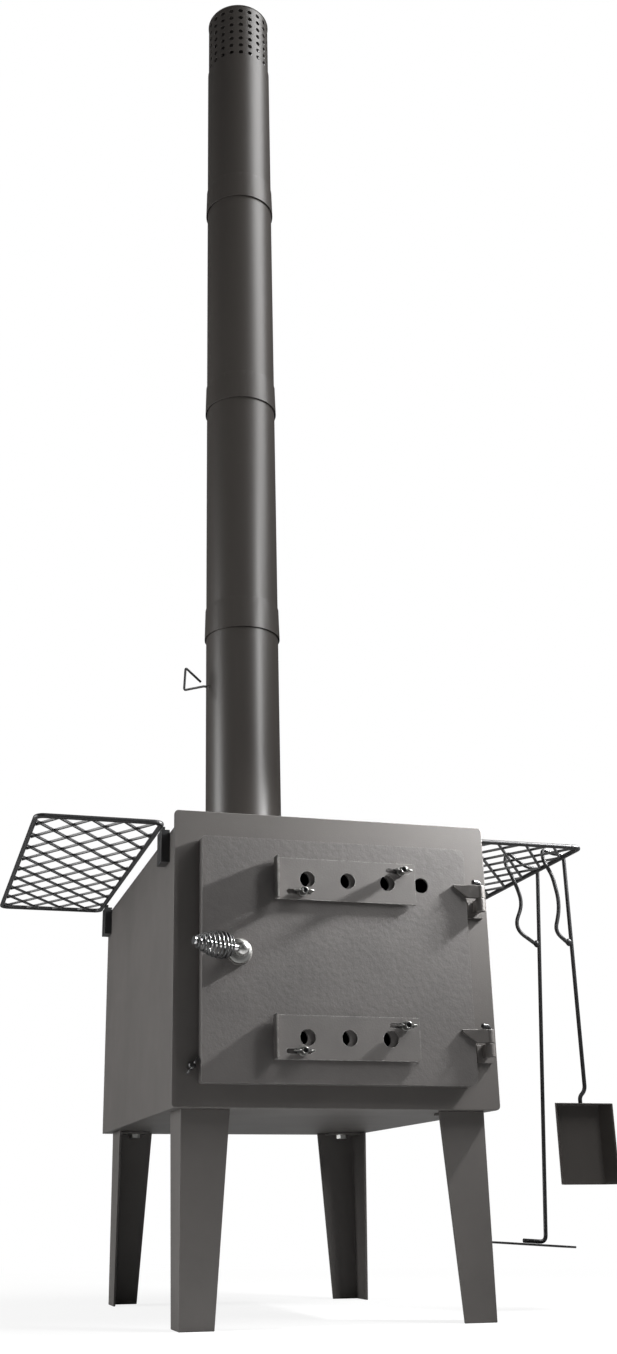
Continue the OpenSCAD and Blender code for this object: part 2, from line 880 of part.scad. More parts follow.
module vent_slide(x, rise) {
    color(c_paint) in_frame() translate([x, 0, rise]) {
        upright(slide_face, slide_t) difference() {
            square([slide_w, slide_h], center = true);
            for (k = [-1 : 1]) translate([slide_hole_x + k * vent_pitch, 0]) circle(vent_r);
            translate([-bolt_left, -bolt_rise]) travel_slot();
            translate([bolt_right, bolt_rise]) travel_slot();
        }
        translate([-slide_w / 2, slide_face - slide_tab, -slide_h / 2])
            cube([slide_t, slide_tab + slide_t, slide_h]);
    }
}

module vent_slide_top() {
    vent_slide(slide_high_x, vent_high);
}

module vent_slide_bottom() {
    vent_slide(slide_low_x, vent_low);
}

module vent_bolts() {
    shank_end = slide_face - seat - washer_t - nut_h + bolt_recess;
    color(c_black) in_frame() at_vent_bolts() {
        rod_y(shank_end, door_inner - shank_end, vent_bolt_r);
        rod_y(door_inner, bolt_head_h, bolt_head_r);
    }
}

module vent_spacers() {
    color(c_zinc) in_frame() at_vent_bolts() difference() {
        rod_y(slide_back_y + seat, slide_gap - seat, spacer_r);
        rod_y(slide_back_y - over, slide_gap + 2 * over, vent_bolt_r + bolt_fit);
    }
}

module vent_washers() {
    color(c_zinc) in_frame() at_vent_bolts() difference() {
        rod_y(slide_face - seat - washer_t, washer_t, washer_r);
        rod_y(slide_face - seat - washer_t - over, washer_t + 2 * over, vent_bolt_r + bolt_fit);
    }
}

module wing_nuts() {
    nut_y = slide_face - seat - washer_t - nut_h;
    color(c_zinc) in_frame() at_vent_bolts() difference() {
        union() {
            rod_y(nut_y, nut_h, nut_r);
            upright(nut_y + nut_h - wing_lift - wing_h, wing_h)
                square([wing_span, wing_t], center = true);
        }
        rod_y(nut_y - nut_h, 3 * nut_h, vent_bolt_r + run_fit);
    }
}

// Places a piece on the latch axis
module at_latch() {
    translate([-latch_x, 0, latch_z]) children();
}

module latch_boss() {
    color(c_paint) in_frame() at_latch() difference() {
        rod_y(door_face - boss_h, boss_h, boss_r);
        rod_y(door_face - boss_h - over, boss_h + 2 * over, latch_r + run_fit);
    }
}

module latch_washer() {
    back = door_face - boss_h - seat;
    color(c_chrome) in_frame() at_latch() translate([0, back, 0]) rotate([90, 0, 0])
        rotate_extrude() polygon([
            [latch_r + run_fit, 0], [dome_r, 0], [dome_r, dome_h / 3],
            [dome_r * 3 / 4, dome_h * 5 / 6], [latch_r + run_fit, dome_h]]);
}

module latch_shaft() {
    front = -hub_y + hub_l / 2;
    color(c_chrome) in_frame() at_latch() rod_y(front, tongue_y + tongue_t - front, latch_r);
}

module latch_tongue() {
    color(c_paint) in_frame() at_latch() upright(tongue_y, tongue_t) difference() {
        union() {
            circle(tongue_w / 2);
            translate([-tongue_w / 2, -tongue_l]) square([tongue_w, tongue_l]);
        }
        circle(latch_r + run_fit);
    }
}

// Places a piece on the handle, with +Z along its rod
module at_handle() {
    at_latch() translate([0, -hub_y, 0]) rotate([0, 0, grip_lean]) rotate([0, -90 + grip_rise, 0])
        children();
}

module handle_hub() {
    color(c_chrome) in_frame() difference() {
        at_latch() rotate([90, 0, 0]) translate([0, 0, hub_y - hub_l / 2]) rotate_extrude() polygon([
            [0, 0], [hub_r, 0], [hub_r, hub_l * 3 / 4], [hub_r * 3 / 4, hub_l], [0, hub_l]]);
        at_handle() cylinder(h = hub_l, r = grip_rod_r + run_fit);
    }
}

module handle_rod() {
    color(c_chrome) in_frame() at_handle() cylinder(h = rod_end, r = grip_rod_r);
}

module grip_tip() {
    color(c_chrome) in_frame() at_handle() difference() {
        translate([0, 0, rod_end - tip_h]) cylinder(h = tip_h, r = tip_r);
        translate([0, 0, rod_end - tip_h - over])
            cylinder(h = tip_h + 2 * over, r = grip_rod_r + run_fit);
    }
}

// Middle of the spring's tube, with one straight length at each end
coil_points = let (n = coil_curls * coil_steps) [
    for (i = [-1 : n + 1])
        let (
            k = min(max(i, 0), n),
            s = k / n,
            r = coil_end_r + (coil_mid_r - coil_end_r) * pow(sin(180 * pow(s, coil_belly_share)), 0.8),
            a = 360 * k / coil_steps,
            run = 2 * coil_wire_r * (i - k)
        )
        [r * cos(a) - run * sin(a), r * sin(a) + run * cos(a), s * coil_l]];

// How far the spring reaches in front of the plate
function reach(p) = hub_y + coil_wire_r - p[1] * cos(grip_lean)
    - (p[0] * sin(grip_rise) - (p[2] + coil_start) * cos(grip_rise)) * sin(grip_lean);
reach_front = max([for (p = coil_points) reach(p)]);
mid_y = (reach_back - reach_front) / 2;

// Least gap between the spring's turns
coil_gap = min([
    for (i = [0 : len(coil_points) - 1])
        for (j = [i + coil_steps / 2 : 1 : len(coil_points) - 1])
            norm(coil_points[i] - coil_points[j])]) - 2 * coil_wire_r;
echo(coil_gap = coil_gap);

module spring_grip() {
    last = len(coil_points) - 1;
    rings = [for (i = [0 : last])
        let (
            t = unit(coil_points[min(i + 1, last)] - coil_points[max(i - 1, 0)]),
            w = unit(cross(t, [0, 0, 1])),
            u = cross(w, t)
        )
        for (k = [0 : coil_sides - 1])
            let (a = -360 * k / coil_sides)
            coil_points[i] + coil_wire_r * (cos(a) * w + sin(a) * u)];
    color(c_chrome) in_frame() at_handle() translate([0, 0, coil_start])
        polyhedron(rings, tube_faces(len(coil_points), coil_sides));
}

module catch_screw() {
    color(c_zinc) in_frame()
        translate([-plate_w / 2 + catch_inset, 0, door_bottom + catch_lift]) {
            rod_y(-nut_h, nut_h, nut_r);
            upright(-nut_h - wing_h / 2, wing_h) rotate(catch_turn)
                square([wing_span * 3 / 4, wing_t], center = true);
        }
}

// Frame of the right shelf; the left one is its mirror image
module shelf_frame() {
    w = shelf_out_x - shelf_in_x;
    l = shelf_back_y - shelf_front_y;
    c = rail_corner_r;
    color(c_black) translate([shelf_in_x, shelf_front_y, shelf_z]) {
        for (x = [0, w]) translate([x, c, 0]) rotate([-90, 0, 0]) cylinder(h = l - 2 * c, r = rail_r);
        for (y = [0, l]) translate([c, y, 0]) rotate([0, 90, 0]) cylinder(h = w - 2 * c, r = rail_r);
        for (x = [0, 1], y = [0, 1])
            translate([x == 0 ? c : w - c, y == 0 ? c : l - c, 0])
                mirror([x, 0, 0]) mirror([0, y, 0]) rotate(180)
                    rotate_extrude(angle = 90) translate([c, 0]) circle(rail_r);
    }
}

module shelf_frame_left() {
    in_frame() mirror([1, 0, 0]) shelf_frame();
}

module shelf_frame_right() {
    in_frame() shelf_frame();
}

// Diamond mesh of the right shelf, its crossings moved outwards and back
module shelf_mesh(out, back) {
    w = shelf_out_x - shelf_in_x - 2 * (rail_r + seat);
    l = shelf_back_y - shelf_front_y - 2 * (rail_r + seat);
    lean = atan(mesh_x / mesh_y);
    color(c_black)
        translate([shelf_mid_x, (shelf_front_y + shelf_back_y) / 2, shelf_z - strand_t / 2])
            linear_extrude(strand_t) intersection() {
                rounded(w, l, rail_corner_r - rail_r);
                for (side = [-1, 1], k = [-mesh_count : mesh_count])
                    translate([out + k * mesh_x, back]) rotate(side * lean)
                        square([strand_w, 3 * l], center = true);
            }
}

module shelf_mesh_left() {
    in_frame() mirror([1, 0, 0]) shelf_mesh(-mesh_left_in, mesh_left_back);
}

module shelf_mesh_right() {
    in_frame() shelf_mesh(mesh_right_out, mesh_right_back);
}

// Two flat legs that drop into the brackets
module shelf_legs() {
    color(c_black) for (y = bracket_ys)
        translate([shelf_in_x - shelf_leg_in - shelf_leg_t / 2, y + bracket_wall,
                shelf_z - rail_r - seat - shelf_leg_l])
            cube([shelf_leg_t, shelf_leg_w, shelf_leg_l]);
}

module shelf_legs_left() {
    in_frame() mirror([1, 0, 0]) shelf_legs();
}

module shelf_legs_right() {
    in_frame() shelf_legs();
}

// Two pockets on the box wall that hold the shelf's legs
module shelf_brackets() {
    leg_mid = shelf_in_x - shelf_leg_in;
    low = shelf_z - rail_r - seat - shelf_leg_l - seat;
    outer = leg_mid + shelf_leg_t / 2 + seat + pocket_wall;
    color(c_black) for (y = bracket_ys) difference() {
        translate([box_w / 2, y - seat, low - bracket_wall])
            cube([outer - box_w / 2, shelf_leg_w + 2 * (bracket_wall + seat),
                shelf_leg_l + bracket_wall - pocket_drop]);
        translate([leg_mid - shelf_leg_t / 2 - seat, y + bracket_wall - seat, low])
            cube([shelf_leg_t + 2 * seat, shelf_leg_w + 2 * seat, shelf_leg_l + over]);
    }
}

module shelf_brackets_left() {
    in_frame() mirror([1, 0, 0]) shelf_brackets();
}

module shelf_brackets_right() {
    in_frame() shelf_brackets();
}

// Places a tool: origin on the outer rail's axis
module on_rail(y, lean) {
    translate([shelf_out_x, y, shelf_z]) rotate([0, lean, 0]) children();
}

// Rod of a tool, from its lowest point up over the rail and round its loop to the weld
module tool_wire(low, shares, w, h) {
    bent_wire(concat(low, [[hook_r, hook_r, hook_r], [-hook_flat, hook_r, bend_r]],
        sized(shares, w, h, loop_bend_r), [[0, -h, 0]]), wire_r);
    translate([0, 0, -h]) rotate([0, 90, 0]) cylinder(h = hook_r, r = weld_r, $fn = 8);
}

module rake_rod() {
    color(c_black) in_frame() on_rail(rake_y, rake_lean)
        tool_wire([[hook_r - foot_l, -rake_l, 0], [hook_r, -rake_l, bend_r]],
            rake_loop_shares, rake_loop_w, rake_loop_h);
}

module rake_blade() {
    color(c_black) in_frame() on_rail(rake_y, rake_lean)
        translate([-blade_shift, 0, -rake_l - wire_r - seat - blade_t / 2]) rotate(blade_turn)
            cube([blade_w, blade_d, blade_t], center = true);
}

module shovel_rod() {
    color(c_black) in_frame() on_rail(shovel_y, 0)
        tool_wire([[-pan_shift, -shovel_l - bend_r, 0], [-pan_shift, -shovel_l, bend_r],
            [hook_r, -shovel_l + bend_r, bend_r]], shovel_loop_shares, shovel_loop_w, shovel_loop_h);
}

module shovel_pan() {
    top = -shovel_l - bend_r;
    color(c_black) in_frame() on_rail(shovel_y, 0)
        translate([-pan_shift, -pan_d / 2, top - pan_l]) {
            linear_extrude(pan_l) difference() {
                polygon([[-pan_w / 2, 0], [pan_w / 2, 0], [pan_floor_w / 2, pan_d],
                    [-pan_floor_w / 2, pan_d]]);
                polygon([[-pan_w / 2 + pan_t, -over], [pan_w / 2 - pan_t, -over],
                    [pan_floor_w / 2 - pan_t, pan_d - pan_t], [-pan_floor_w / 2 + pan_t, pan_d - pan_t]]);
            }
            translate([0, 0, pan_l - pan_t]) linear_extrude(pan_t)
                polygon([[-pan_w / 2, 0], [pan_w / 2, 0], [pan_floor_w / 2, pan_d],
                    [-pan_floor_w / 2, pan_d]]);
        }
}

front_plate();
side_panel_left();
side_panel_right();
back_panel();
floor_panel();
cooktop();
flue_collar();
collar_screws();
grate_rests();
fire_grate();
leg_front_left();
leg_front_right();
leg_rear_left();
leg_rear_right();
leg_bolts();
leg_nuts();
pipe_section_1();
pipe_section_2();
pipe_section_3();
pipe_section_4();
spark_arrestor();
arrestor_cap();
damper_plate();
damper_shaft();
damper_handle();
damper_nut();
door_panel();
door_rim();
door_knuckles();
frame_knuckles();
hinge_pins();
vent_slide_top();
vent_slide_bottom();
vent_bolts();
vent_spacers();
vent_washers();
wing_nuts();
latch_boss();
latch_washer();
latch_shaft();
latch_tongue();
handle_hub();
handle_rod();
spring_grip();
grip_tip();
catch_screw();
shelf_frame_left();
shelf_frame_right();
shelf_mesh_left();
shelf_mesh_right();
shelf_legs_left();
shelf_legs_right();
shelf_brackets_left();
shelf_brackets_right();
rake_rod();
rake_blade();
shovel_rod();
shovel_pan();
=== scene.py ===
# %% [markdown]
# # An outdoor wood-burning stove
#
# This lesson gives an outdoor stove its looks: a black painted steel firebox on four tapered legs,
# a tall flue, a door with sliding vents and a coiled handle, wire shelves at both sides, and an ash
# rake and a shovel that hang from a rail. The construction model is already there at its real size,
# so it is loaded first as a fixed frame. Everything else in this file is a camera, a studio,
# finishes, and pieces that are rounder or finer than the construction model needs them.

# %% Load the frame
import json
import math

import bmesh
import bpy
from mathutils import Matrix, Vector


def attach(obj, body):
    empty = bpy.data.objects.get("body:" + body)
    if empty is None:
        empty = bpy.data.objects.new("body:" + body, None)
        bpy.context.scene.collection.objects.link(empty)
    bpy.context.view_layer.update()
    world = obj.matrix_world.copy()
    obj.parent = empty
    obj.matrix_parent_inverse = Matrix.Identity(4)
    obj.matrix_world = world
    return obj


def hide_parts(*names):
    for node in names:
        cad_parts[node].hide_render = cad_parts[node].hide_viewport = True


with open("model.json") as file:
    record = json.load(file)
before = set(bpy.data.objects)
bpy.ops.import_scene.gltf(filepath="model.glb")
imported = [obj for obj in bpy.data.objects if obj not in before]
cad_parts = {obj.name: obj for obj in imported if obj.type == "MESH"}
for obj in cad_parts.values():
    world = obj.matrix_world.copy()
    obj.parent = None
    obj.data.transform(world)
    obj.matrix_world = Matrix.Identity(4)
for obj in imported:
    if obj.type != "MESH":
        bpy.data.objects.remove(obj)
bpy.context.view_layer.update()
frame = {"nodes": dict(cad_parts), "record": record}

mm = 0.001
bodies = {
    node: body
    for body, nodes in frame["record"]["behaviour"]["bodies"].items()
    for node in nodes
}
slots = {part["node"]: part["material_slot"] for part in frame["record"]["subparts"]}

# %% [markdown]
# ## The camera
#
# The photograph was taken from low down in front of the stove and a little to its left, looking
# up, so the legs seem wide apart and the flue leans towards its top. A camera is set by where it
# stands, where it looks and how long its lens is. These came from the corners of the firebox and
# the edges of the flue, measured in the photograph. The picture is a cut-out of a larger one, so
# its middle isn't where the lens pointed, and a small shift of the lens does the same.

# %% Camera
camera_place = Vector((-0.4951, -1.7155, 0.1156))
camera_turn = math.radians(14.62)
camera_tilt = math.radians(20.56)
camera_roll = math.radians(-0.56)
lens_length = 35.83
lens_shift = (0.0403, 0.0212)
sensor_width = 36
nearest_seen = 0.05


def aim_camera():
    data = bpy.data.cameras.new("camera")
    data.lens = lens_length
    data.sensor_width = sensor_width
    data.shift_x, data.shift_y = lens_shift
    data.clip_start = nearest_seen
    camera = bpy.data.objects.new("camera", data)
    bpy.context.scene.collection.objects.link(camera)
    camera.matrix_world = (
        Matrix.Translation(camera_place)
        @ Matrix.Rotation(-camera_turn, 4, "Z")
        @ Matrix.Rotation(math.pi / 2 + camera_tilt, 4, "X")
        @ Matrix.Rotation(camera_roll, 4, "Z")
    )
    bpy.context.scene.camera = camera
    return camera


camera = aim_camera()
print("camera at", [round(value, 3) for value in camera.matrix_world.translation])

# %% [markdown]
# ## Nodes without repetition
#
# A material in Blender is a small network of nodes. Writing each node by hand takes four or five
# lines, so one helper feeds a socket with a plain value or with a link, and another makes a node,
# sets its options and feeds its inputs. A third opens a node group: a network with named inputs and
# outputs that several materials share, so a finish such as wear is built once and used with other
# values each time. The last does sums, which these networks need often.

# %% Node helpers
def feed(tree, socket, value):
    if isinstance(value, bpy.types.NodeSocket):
        tree.links.new(value, socket)
    else:
        socket.default_value = value


def add_node(tree, kind, inputs=None, **options):
    node = tree.nodes.new(kind)
    for name, value in options.items():
        setattr(node, name, value)
    for name, value in (inputs or {}).items():
        feed(tree, node.inputs[name], value)
    return node


def open_group(name, inputs, output):
    group = bpy.data.node_groups.new(name, "ShaderNodeTree")
    for title, value in inputs.items():
        socket = group.interface.new_socket(title, in_out="INPUT", socket_type="NodeSocketFloat")
        socket.default_value = value
    group.interface.new_socket(output, in_out="OUTPUT", socket_type="NodeSocketFloat")
    return group, group.nodes.new("NodeGroupInput"), group.nodes.new("NodeGroupOutput")


def math_node(tree, operation, first, second):
    node = add_node(tree, "ShaderNodeMath", {0: first, 1: second}, operation=operation)
    return node.outputs[0]


print("node helpers ready")

# %% [markdown]
# ## Patches in the paint
#
# High-heat paint is never one even grey: it is sprayed in passes, so it is patchy at the size of a
# hand. An image of such paint would show its seams, so noise is used, on Object coordinates, which
# keeps each patch in its place when a piece moves. The group puts out a shade around 1, by which a
# finish multiplies its colour. Noise seldom leaves the middle quarter of its range, so it is spread
# four times wider. Rolled pipe is patchy along its length, and for it the pattern can be stretched.

# %% Patches
noise_middle = 0.5
noise_spread = 4.0


def make_patches():
    settings = {"Size": 0.1, "Strength": 0.15, "Stretch": 1}
    group, given, result = open_group("patches", settings, "Shade")
    place = add_node(group, "ShaderNodeTexCoord").outputs["Object"]
    upright = add_node(
        group, "ShaderNodeCombineXYZ", {"X": 1.0, "Y": 1.0, "Z": given.outputs["Stretch"]}
    )
    stretched = add_node(
        group, "ShaderNodeVectorMath", {0: place, 1: upright.outputs[0]}, operation="MULTIPLY"
    )
    scale = math_node(group, "DIVIDE", 1.0, given.outputs["Size"])
    noise = add_node(
        group, "ShaderNodeTexNoise",
        {"Vector": stretched.outputs[0], "Scale": scale, "Detail": 5.0, "Roughness": 0.6},
    )
    centred = math_node(group, "SUBTRACT", noise.outputs["Fac"], noise_middle)
    swing = math_node(group, "MULTIPLY", centred, given.outputs["Strength"])
    wide = math_node(group, "MULTIPLY", swing, noise_spread)
    group.links.new(math_node(group, "ADD", wide, 1.0), result.inputs["Shade"])
    return group


patches = make_patches()
print("shared effect:", patches.name)

# %% [markdown]
# ## Grain
#
# Close up, the paint is as rough as fine sand, and a casting is lumpy. Noise gives the sand, and
# smooth cells a few times larger give the lumps. Their sum is a height, which a Bump node in each
# finish turns into light and shade without more faces.

# %% Grain
lump_scale = 0.3


def make_grain():
    group, given, result = open_group("grain", {"Size": 0.002, "Coarse": 0.3}, "Height")
    place = add_node(group, "ShaderNodeTexCoord").outputs["Object"]
    scale = math_node(group, "DIVIDE", 1.0, given.outputs["Size"])
    fine = add_node(group, "ShaderNodeTexNoise", {"Vector": place, "Scale": scale, "Detail": 3.0})
    lumps = add_node(
        group, "ShaderNodeTexVoronoi",
        {"Vector": place, "Scale": math_node(group, "MULTIPLY", scale, lump_scale)},
        feature="SMOOTH_F1",
    )
    coarse = math_node(group, "MULTIPLY", lumps.outputs["Distance"], given.outputs["Coarse"])
    height = math_node(group, "ADD", fine.outputs["Fac"], coarse)
    group.links.new(height, result.inputs["Height"])
    return group


grain = make_grain()
print("shared effect:", grain.name)

# %% [markdown]
# ## Rubbed edges
#
# Paint rubs off along edges, where lighter steel shows. Painting that by hand would take a mask for
# each piece. A Bevel node finds the edges instead: it rounds the normal near an edge, so where its
# normal leaves the true one there is an edge. Real wear is broken, not one even line, so a noise of
# chips a few millimetres long cuts gaps in it.

# %% Rubbed edges
flat_likeness = 0.97
edge_likeness = 0.8
chip_scale = 160.0
chip_gap = 0.4
chip_full = 0.6


def make_rubbed():
    group, given, result = open_group("rubbed", {"Reach": 0.001, "Amount": 0.5}, "Bare")
    rounded = add_node(group, "ShaderNodeBevel", {"Radius": given.outputs["Reach"]}, samples=4)
    true = add_node(group, "ShaderNodeNewGeometry").outputs["True Normal"]
    likeness = add_node(
        group, "ShaderNodeVectorMath", {0: rounded.outputs[0], 1: true}, operation="DOT_PRODUCT"
    )
    edge = add_node(
        group, "ShaderNodeMapRange",
        {"Value": likeness.outputs["Value"], "From Min": flat_likeness, "From Max": edge_likeness},
    )
    place = add_node(group, "ShaderNodeTexCoord").outputs["Object"]
    chips = add_node(
        group, "ShaderNodeTexNoise", {"Vector": place, "Scale": chip_scale, "Detail": 4.0}
    )
    kept = add_node(
        group, "ShaderNodeMapRange",
        {"Value": chips.outputs["Fac"], "From Min": chip_gap, "From Max": chip_full},
    )
    broken = math_node(group, "MULTIPLY", edge.outputs[0], kept.outputs[0])
    bare = math_node(group, "MULTIPLY", broken, given.outputs["Amount"])
    group.links.new(bare, result.inputs["Bare"])
    return group


rubbed = make_rubbed()
print("shared effect:", rubbed.name)

# %% [markdown]
# ## What every finish needs
#
# Each finish starts from a new material with its main shader, places the shared groups with values
# of its own, and lets the patches vary its gloss: where the shade is darker, the surface is a bit
# rougher. Colours are mixed by a Mix node, which has sockets for numbers and vectors too, so the
# colour ones are picked out by their kind.

# %% Parts of a finish
shade_low = 0.7
shade_high = 1.3


def open_material(name, colour):
    material = bpy.data.materials.new(name)
    material.use_nodes = True
    material.diffuse_color = (*colour, 1)
    return material, material.node_tree, material.node_tree.nodes["Principled BSDF"]


def add_group(tree, group, **values):
    return add_node(tree, "ShaderNodeGroup", values, node_tree=group)


def roughness_from(tree, shade, middle, spread):
    mapped = add_node(
        tree, "ShaderNodeMapRange",
        {"Value": shade, "From Min": shade_low, "From Max": shade_high,
         "To Min": middle + spread, "To Max": middle - spread},
    )
    return mapped.outputs[0]


def mix_colours(tree, blend, factor, first, second):
    mix = add_node(tree, "ShaderNodeMix", {"Factor": factor}, data_type="RGBA", blend_type=blend)
    first_colour, second_colour = [socket for socket in mix.inputs if socket.type == "RGBA"]
    feed(tree, first_colour, first)
    feed(tree, second_colour, second)
    return next(socket for socket in mix.outputs if socket.type == "RGBA")


print("finish helpers ready")

# %% [markdown]
# ## Paint
#
# All the painted pieces are the same kind of thing: a dark paint, patchy in shade and in gloss,
# with a fine grain and lighter rubbed edges. So one function makes them all, and each finish calls
# it with its own colour and sizes: how rough it is, how large and strong its patches are, how deep
# its grain is, and how far and how much its edges are worn.

# %% Paint
paint_spread = 0.08
grain_height = 0.0004


def paint(name, colour, rough, patch=0.12, strength=0.12, stretch=1.0, grain_size=0.0012,
          grain_depth=0.15, coarse=0.2, worn=0.35, reach=0.0012, bare=(0.35, 0.34, 0.33)):
    material, tree, shader = open_material(name, colour)
    tone = add_group(tree, patches, Size=patch, Strength=strength, Stretch=stretch)
    shade = tone.outputs["Shade"]
    wear = add_group(tree, rubbed, Reach=reach, Amount=worn).outputs["Bare"]
    pores = add_group(tree, grain, Size=grain_size, Coarse=coarse).outputs["Height"]
    tint = mix_colours(tree, "MULTIPLY", 1, (*colour, 1), shade)
    worn_tint = mix_colours(tree, "MIX", wear, tint, (*bare, 1))
    bump = add_node(
        tree, "ShaderNodeBump",
        {"Strength": grain_depth, "Distance": grain_height, "Height": pores},
    )
    tree.links.new(worn_tint, shader.inputs["Base Color"])
    tree.links.new(roughness_from(tree, shade, rough, paint_spread), shader.inputs["Roughness"])
    tree.links.new(bump.outputs[0], shader.inputs["Normal"])
    return material


paints = {
    "stove_paint": {"colour": (0.098, 0.091, 0.086), "rough": 0.5, "worn": 0.25},
    "door_paint": {"colour": (0.115, 0.108, 0.104), "rough": 0.5, "patch": 0.05,
                   "strength": 0.14, "grain_size": 0.002, "grain_depth": 0.35,
                   "coarse": 0.8, "worn": 0.3},
    # the slides' much lighter edges are partly wear and partly a painted highlight
    "slide_paint_worn_and_sheen": {"colour": (0.125, 0.118, 0.113), "rough": 0.5, "patch": 0.05,
                    "strength": 0.14, "grain_size": 0.002, "grain_depth": 0.2,
                    "worn": 0.7, "reach": 0.0014, "bare": (0.5, 0.49, 0.48)},
    "flue_paint": {"colour": (0.047, 0.042, 0.038), "rough": 0.38, "strength": 0.1,
                   "stretch": 0.15, "grain_depth": 0.06, "worn": 0.2},
    "black_wire": {"colour": (0.018, 0.018, 0.019), "rough": 0.38, "patch": 0.03, "worn": 0.1},
    "grate_iron": {"colour": (0.05, 0.047, 0.044), "rough": 0.7, "patch": 0.03,
                   "strength": 0.3, "grain_size": 0.003, "grain_depth": 0.6, "coarse": 1.0},
}
finishes = {name: paint(name, **look) for name, look in paints.items()}
print("paints:", sorted(finishes))

# %% [markdown]
# ## Bare metal
#
# The hub is zinc plated, the handle's rod is chromed, and the spring is dark spring steel. The
# catch screw gets that dark steel too, and the wing nuts and the latch's dish get a darkened steel.
# On these three it is painted shade for the shadow these small parts sit in. Bare metal has no
# paint to wear through. Its colour is its reflection, so only its gloss varies, as if it had been
# handled.

# %% Bare metal
handled_patch = 0.02
handled_strength = 0.2


def metal(name, colour, rough, spread=0.05):
    material, tree, shader = open_material(name, colour)
    shader.inputs["Base Color"].default_value = (*colour, 1)
    shader.inputs["Metallic"].default_value = 1
    tone = add_group(tree, patches, Size=handled_patch, Strength=handled_strength, Stretch=1.0)
    uneven = roughness_from(tree, tone.outputs["Shade"], rough, spread)
    tree.links.new(uneven, shader.inputs["Roughness"])
    return material


metals = {
    "zinc": {"colour": (0.6, 0.6, 0.58), "rough": 0.3, "spread": 0.06},
    "chrome": {"colour": (0.8, 0.8, 0.81), "rough": 0.13, "spread": 0.04},
    # dark spring steel for the spring; on the catch screw this darkness is painted shade
    "spring_steel_and_painted_shade": {"colour": (0.1, 0.1, 0.1), "rough": 0.36},
    # darkened steel: painted shade on the wing nuts and the latch's dish
    "steel_darkened_as_shade": {"colour": (0.26, 0.26, 0.25), "rough": 0.34},
}
finishes.update({name: metal(name, **look) for name, look in metals.items()})
for node_name, node_object in frame["nodes"].items():
    node_object.data.materials.clear()
    node_object.data.materials.append(finishes[slots[node_name]])
print("metals:", sorted(metals), "- pieces with a finish:", len(frame["nodes"]))

# %% [markdown]
# ## A new piece
#
# Every piece made below stands for one piece of the construction model, moves with the same body
# and takes its finish from the same slot, unless it is given another. Its doubled corners are
# merged, its faces are turned outwards and shaded smooth, and its place stays in its mesh, so its
# object is left at the origin and a pattern never slides.

# %% New pieces
merged_within = 0.01 * mm


def add_piece(name, mesh, node, finish=None):
    bmesh.ops.remove_doubles(mesh, verts=mesh.verts, dist=merged_within)
    bmesh.ops.recalc_face_normals(mesh, faces=mesh.faces)
    for face in mesh.faces:
        face.smooth = True
    data = bpy.data.meshes.new(name)
    mesh.to_mesh(data)
    mesh.free()
    data.materials.append(finishes[finish or slots[node]])
    piece = bpy.data.objects.new(name, data)
    bpy.context.scene.collection.objects.link(piece)
    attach(piece, bodies[node])
    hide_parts(node)
    return piece


print("new pieces can be made for", len(slots), "nodes")

# %% [markdown]
# ## Edges that are never quite sharp
#
# Folded sheet has a small round along each fold, a cut edge is ground off, and a casting is rounder
# still. Those narrow rounds catch the light and are what make steel look like steel. A Bevel
# modifier gives them, and it needs clean flat faces: the construction model comes in triangles, so
# each copy first has its doubled corners merged and its flat triangles joined into whole faces. The
# normals are then weighted by area, which keeps the flat faces flat. The table gives how wide each
# piece's round is, in millimetres.

# %% Copies with eased edges
flat_within = math.radians(0.5)
sharp_over = math.radians(30)
ease_steps = 2
area_weight = 100


def ease_edges(node, reach):
    mesh = bmesh.new()
    mesh.from_mesh(frame["nodes"][node].data)
    bmesh.ops.remove_doubles(mesh, verts=mesh.verts, dist=merged_within)
    bmesh.ops.dissolve_limit(mesh, angle_limit=flat_within, verts=mesh.verts, edges=mesh.edges)
    piece = add_piece(node + "_eased", mesh, node)
    rounder = piece.modifiers.new("eased", "BEVEL")
    rounder.width = reach
    rounder.segments = ease_steps
    rounder.limit_method = "ANGLE"
    rounder.angle_limit = sharp_over
    flat = piece.modifiers.new("flat", "WEIGHTED_NORMAL")
    flat.weight = area_weight
    return piece


ease_reach = {
    "front_plate": 0.8, "side_panel_left": 0.6, "side_panel_right": 0.6,
    "back_panel": 0.6, "cooktop": 0.8, "flue_collar": 0.5,
    "leg_front_left": 0.9, "leg_front_right": 0.9, "leg_rear_left": 0.9, "leg_rear_right": 0.9,
    "door_panel": 2.2, "door_rim": 1.0, "vent_slide_top": 0.35, "vent_slide_bottom": 0.35,
    "door_knuckles": 1.0, "frame_knuckles": 0.7, "hinge_pins": 0.6,
    "latch_boss": 1.2, "latch_tongue": 0.6,
    "pipe_section_1": 0.3, "pipe_section_2": 0.3, "pipe_section_3": 0.3, "pipe_section_4": 0.3,
    "arrestor_cap": 0.4, "shelf_brackets_left": 0.5, "shelf_brackets_right": 0.5,
    "shelf_legs_left": 0.5, "shelf_legs_right": 0.5,
    "rake_blade": 0.5, "shovel_pan": 0.5, "fire_grate": 0.6,
}
eased = {node: ease_edges(node, reach * mm) for node, reach in ease_reach.items()}
print("pieces with eased edges:", len(eased))

# %% [markdown]
# ## Three pieces with another paint
#
# The sliding vent plates get a paint whose edges are much lighter. This is partly wear from fingers
# and from the door behind them, and partly a painted highlight where the key lamp grazes those
# edges. The shovel's pan is as dark and smooth as the flue. A copy's finish is swapped by putting
# another material in its only slot.

# %% Slides with worn edges and painted highlights, and dark pan
for slide in ("vent_slide_top", "vent_slide_bottom"):
    eased[slide].data.materials[0] = finishes["slide_paint_worn_and_sheen"]
eased["shovel_pan"].data.materials[0] = finishes["flue_paint"]
print("pan's paint:", eased["shovel_pan"].data.materials[0].name)

